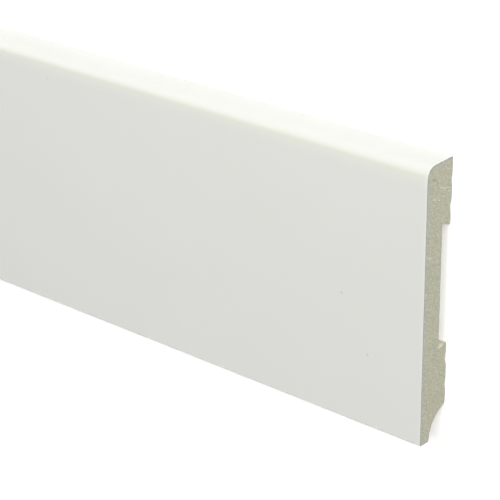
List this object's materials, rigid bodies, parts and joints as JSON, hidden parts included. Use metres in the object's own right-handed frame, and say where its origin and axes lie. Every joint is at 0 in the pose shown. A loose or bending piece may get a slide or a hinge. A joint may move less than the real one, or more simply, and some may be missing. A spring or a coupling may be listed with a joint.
{
  "type": "skirting board length",
  "caption": "Length of white film-wrapped skirting board with a rounded top edge, fluted wall pads, an undercut clip slot in its back and a cove behind its foot.",
  "frame": {"origin": "middle of the board's length and height, at the level of its back, which lies on the floor", "axes": "+X along the board, +Y up its face from the foot to the top edge, +Z from its back to its face"},
  "size_m": [2.4, 0.12, 0.016],
  "materials": {
    "foam_core": "grey-beige foamed polymer, closed cells, sawn at the ends",
    "white_film": "smooth white film with a satin gloss"
  },
  "bodies": {
    "root": {"foam_core": "foam_core", "white_film": "white_film"}
  },
  "joints": []
}
